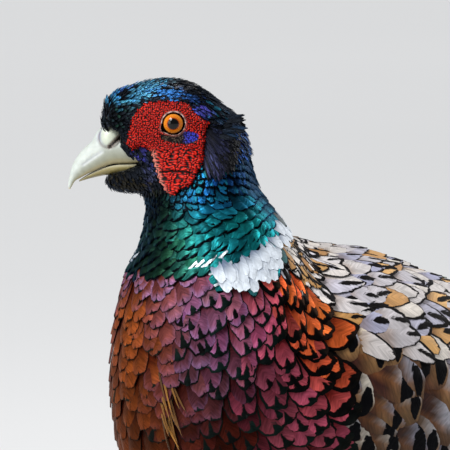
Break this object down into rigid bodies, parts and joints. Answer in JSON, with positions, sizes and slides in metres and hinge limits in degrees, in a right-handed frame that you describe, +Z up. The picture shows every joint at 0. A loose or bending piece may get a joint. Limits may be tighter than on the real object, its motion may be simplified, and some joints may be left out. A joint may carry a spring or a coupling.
{
  "type": "common pheasant",
  "caption": "Still, life-size model of a male common pheasant, standing on both feet with its head turned to its own right and its long tail held out behind.",
  "frame": {"origin": "on the floor, under the middle of the overall box", "axes": "+X is the way the body faces, from tail to breast; +Y is the bird's own left; +Z is up"},
  "size_m": [0.7572, 0.1392, 0.3715],
  "materials": {
    "body_feather": "soft copper-red plumage with dark edges",
    "neck_feather": "glossy green-blue iridescent plumage above a white collar",
    "head_feather": "short velvety blue-green iridescent plumage",
    "wing_feather": "buff plumage with dark bars and edges",
    "tail_feather": "long buff vanes with black bars",
    "thigh_feather": "soft dark brown plumage",
    "wattle_skin": "bare red skin with fine bulbs and folds",
    "bill_horn": "smooth ivory horn",
    "eye_globe": "wet amber iris round a black pupil",
    "leg_scale": "grey scutes",
    "claw_horn": "dark brown horn"
  },
  "bodies": {
    "root": {"torso": "body_feather", "neck": "neck_feather", "head": "head_feather", "wattle_left": "wattle_skin", "wattle_right": "wattle_skin", "eye_left": "eye_globe", "eye_right": "eye_globe", "bill_upper": "bill_horn", "bill_lower": "bill_horn", "wing_left": "wing_feather", "wing_right": "wing_feather", "tail": "tail_feather", "thigh_left": "thigh_feather", "thigh_right": "thigh_feather", "shank_left": "leg_scale", "shank_right": "leg_scale", "foot_left": "leg_scale", "foot_right": "leg_scale", "spur_left": "claw_horn", "spur_right": "claw_horn", "claw_middle_left": "claw_horn", "claw_inner_left": "claw_horn", "claw_outer_left": "claw_horn", "claw_hind_left": "claw_horn", "claw_middle_right": "claw_horn", "claw_inner_right": "claw_horn", "claw_outer_right": "claw_horn", "claw_hind_right": "claw_horn"}
  },
  "joints": []
}
